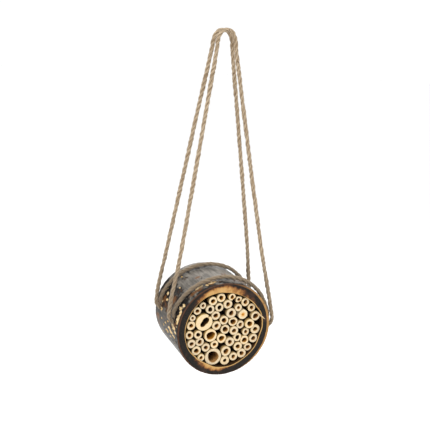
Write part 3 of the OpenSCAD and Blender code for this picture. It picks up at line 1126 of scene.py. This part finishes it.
FRONT_HANG = [
    (-52, -26, -349.2), (-60.9, -26, -340.3), (-64, -26, -336.4),
    (-65.2, -26, -333), (-65, -26, -329.5), (-53.4, -22.3, -268.5),
    (-38.4, -16.8, -180), (-23.8, -11.3, -91.5), (-12.3, -7, -21),
    (-9.8, -6, -5.5), (-7, -6, -0.4), (-3.6, -6, 1.8), (0, -6, 2.5),
    (3.6, -6, 1.8), (7, -6, -0.4), (9.8, -6.2, -5.5),
    (12.2, -7.4, -21), (23.4, -13.6, -91.5), (37.8, -21.2, -180),
    (53, -29.6, -268.5), (65.4, -36.9, -334), (67.3, -37, -343.7),
    (67, -36.2, -349), (64.3, -35.1, -353.5), (61.9, -35, -355.9),
    (53, -35, -364.8),
]  # fmt: skip
BACK_HANG = [
    (-52, 26, -349.2), (-60.9, 26, -340.3), (-64, 26, -336.4),
    (-65.2, 26, -333), (-65, 26, -329.5), (-55.6, 22.3, -268.5),
    (-40.6, 16.8, -180), (-25.6, 11.3, -91.5), (-13.2, 7, -21),
    (-10.8, 6, -6.5), (-7.8, 6, -0.7), (-4, 6, 1.8), (0, 6, 2.5),
    (4, 6, 1.8), (7.8, 6, -0.7), (10.8, 6, -6.5),
    (13.2, 7, -21), (25.4, 11.5, -91.5), (40.6, 17.2, -180),
    (55.6, 23.2, -268.5), (65.4, 28, -334), (67.3, 28, -343.7),
    (67, 27.2, -349), (64.3, 26.1, -353.5), (61.9, 26, -355.9),
    (53, 26, -364.8),
]  # fmt: skip
FRONT_BAND = [
    (-51.3, -26, -342.4), (-56.4, -26, -337.3), (-58.5, -26, -334.1),
    (-59.3, -26.2, -330.3), (-58.6, -26.6, -326.5), (-49.5, -28.4, -310.8),
    (-35.7, -30.4, -297.6), (-18.4, -31.8, -289.6), (0, -32.6, -286.8),
    (18.4, -33, -289.6), (35.9, -33.2, -297.6), (49.9, -33.4, -311.3),
    (58.6, -33.4, -326.4), (62.5, -33.5, -341), (62, -34.5, -347),
    (59.8, -35, -350.5), (54.7, -35, -355.6),
]  # fmt: skip
BACK_BAND = [
    (-51.3, 26, -342.4), (-56.4, 26, -337.3), (-58.5, 26, -334.1),
    (-59.3, 26, -330.3), (-58.6, 25.8, -326.5), (-49.5, 24.6, -310.8),
    (-35.7, 23.2, -297.6), (-18.4, 22, -289.6), (0, 21.6, -286.8),
    (18.4, 21.8, -289.6), (35.9, 22.6, -297.6), (49.9, 23.6, -311.3),
    (58.6, 24.4, -326.4), (62.5, 24.6, -341), (62, 25.5, -347),
    (59.8, 26, -350.5), (54.7, 26, -355.6),
]  # fmt: skip


@dataclass(frozen=True)
class Studio:
    """Camera, light and floor."""

    target: Vector
    azimuth: float = math.radians(-22.215)
    elevation: float = math.radians(21.012)
    distance: float = 0.898
    yaw: float = math.radians(0.089)
    pitch: float = math.radians(8.253)
    roll: float = math.radians(2.869)
    focal_px: float = 700.0
    frame_px: float = 430.0
    sensor_mm: float = 36.0
    surround: float = 1.04
    floor_drop: float = 0.45
    floor_half: float = 30.0

    def camera(self) -> None:
        """Stands the camera off the drum, turns it to face the drum, then tips it up and rolls it."""
        a, e = self.azimuth, self.elevation
        back = Vector((math.sin(a) * math.cos(e), -math.cos(a) * math.cos(e), math.sin(e)))
        turn = back.to_track_quat("Z", "Y").to_matrix()
        for angle, axis in ((self.yaw, "Y"), (self.pitch, "X"), (self.roll, "Z")):
            turn = turn @ Matrix.Rotation(angle, 3, axis)
        data = bpy.data.cameras.new("camera")
        data.sensor_width = self.sensor_mm
        data.lens = self.sensor_mm * self.focal_px / self.frame_px
        camera = put_in_scene("camera", data)
        camera.matrix_world = Matrix.Translation(self.target + back * self.distance) @ turn.to_4x4()
        bpy.context.scene.camera = camera

    def lights(self) -> None:
        """A bright even surround, a large key from the upper left and a low fill."""
        scene = bpy.context.scene
        scene.view_settings.view_transform = "Standard"
        world = bpy.data.worlds.new("surround")
        world.use_nodes = True
        background = world.node_tree.nodes["Background"]
        background.inputs["Color"].default_value = (1.0, 1.0, 1.0, 1.0)
        background.inputs["Strength"].default_value = self.surround
        scene.world = world
        for name, offset, size, power in (
            ("key", (-0.7, -0.8, 1.4), 0.5, 12.0),
            ("fill", (1.2, -0.9, 0.4), 1.0, 3.0),
            ("rear", (0.2, 1.0, 1.3), 0.8, 6.0),
        ):
            data = bpy.data.lights.new(name, "AREA")
            data.size, data.energy = size, power
            lamp = put_in_scene(name, data)
            lamp.location = self.target + Vector(offset)
            lamp.rotation_euler = (-Vector(offset)).to_track_quat("-Z", "Y").to_euler()

    def floor(self) -> None:
        """A plain pale floor well below the drum."""
        mesh = bpy.data.meshes.new("floor")
        size, z = self.floor_half, self.target.z - self.floor_drop
        corners = [(-size, -size, z), (size, -size, z), (size, size, z), (-size, size, z)]
        mesh.from_pydata(corners, [], [(0, 1, 2, 3)])
        mesh.materials.append(Tree("pale_floor").finish((0.97, 0.97, 0.97), 0.9))
        floor = put_in_scene("floor", mesh)


def clear_scene() -> None:
    """Removes whatever the file started with."""
    for item in list(bpy.data.objects):
        bpy.data.objects.remove(item)


def main() -> None:
    """Builds every piece in order."""
    logging.basicConfig(level=logging.INFO, format="%(message)s")
    clear_scene()
    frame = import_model()
    low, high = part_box("drum_shell")
    middle = (low + high) / 2
    radius, half_length = (high.x - low.x) / 2, (high.y - low.y) / 2

    studio = Studio(middle)
    studio.camera()
    studio.lights()
    studio.floor()

    cords = (
        Cord("front_hang_cord", "front_hanger", FRONT_HANG, 0.0, 21),
        Cord("back_hang_cord", "back_hanger", BACK_HANG, 0.0, 22),
        Cord("front_band_cord", "front_band", FRONT_BAND, 0.40, 23),
        Cord("back_band_cord", "back_band", BACK_BAND, 0.40, 24),
    )
    for cord in cords:
        cord.install()

    drum = Drum(middle, radius, half_length)
    wall = drum.build()
    wall.data.materials.append(CharredCulm(middle, radius).make())
    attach(wall, "root")
    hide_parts("drum_shell")
    LOG.info("culm wall: %d faces", len(wall.data.polygons))

    slivers = Slivers(middle).build()
    slivers.data.materials.append(LooseFibre("bare_sliver", (0.70, 0.50, 0.27)).make())
    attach(slivers, "root")

    canes = {name: node for name, node in frame["nodes"].items() if name.startswith("cane_")}
    pieces = CanePack(canes).build(CutCane().make())
    LOG.info("%d canes", len(pieces))

    panel = frame["nodes"]["back_panel"]
    panel.data.materials.clear()
    panel.data.materials.append(PlainDisc().make())


if __name__ == "__main__":
    main()
